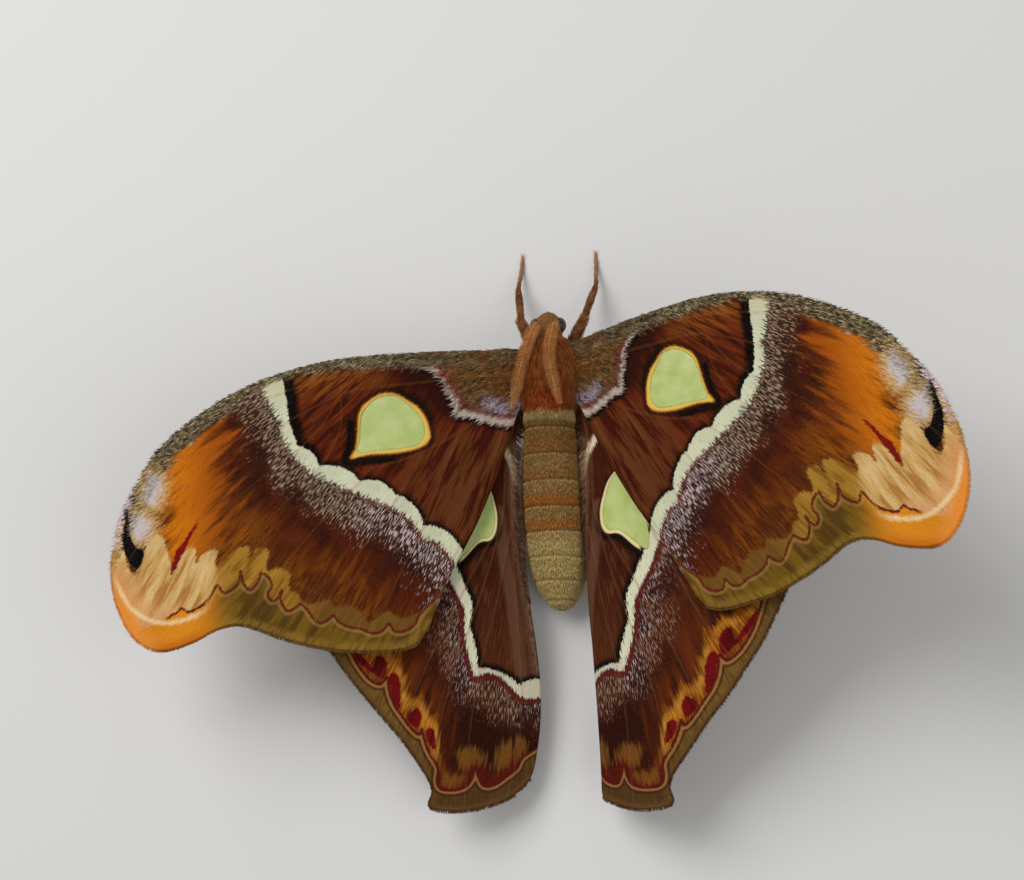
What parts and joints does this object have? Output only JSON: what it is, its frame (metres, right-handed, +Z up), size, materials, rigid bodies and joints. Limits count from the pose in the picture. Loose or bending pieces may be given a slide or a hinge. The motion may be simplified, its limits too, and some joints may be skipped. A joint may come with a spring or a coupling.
{
  "type": "atlas moth",
  "caption": "Large moth with spread, hook-tipped wings that carry raised veins, a furry body, feathered feelers and legs set flat on the ground.",
  "frame": {"origin": "middle of the bounding box, on the ground that the belly and the feet rest on", "axes": "+X across the wings towards the moth's right, +Y the way the head points, +Z up"},
  "size_m": [0.2359, 0.1644, 0.0818],
  "materials": {
    "body_fur": "short rust-brown fur",
    "abdomen_fur": "short banded fur",
    "wing": "matt scales on a dry membrane",
    "antenna": "satin horn",
    "leg": "short fur",
    "eye": "glossy facets"
  },
  "bodies": {
    "root": {"head": "body_fur", "thorax": "body_fur", "abdomen": "abdomen_fur", "eye_left": "eye", "eye_right": "eye", "antenna_left": "antenna", "antenna_right": "antenna", "leg_front_left": "leg", "leg_front_right": "leg", "leg_middle_left": "leg", "leg_middle_right": "leg", "leg_hind_left": "leg", "leg_hind_right": "leg", "forewing_left": "wing", "forewing_right": "wing", "hindwing_left": "wing", "hindwing_right": "wing"}
  },
  "joints": []
}
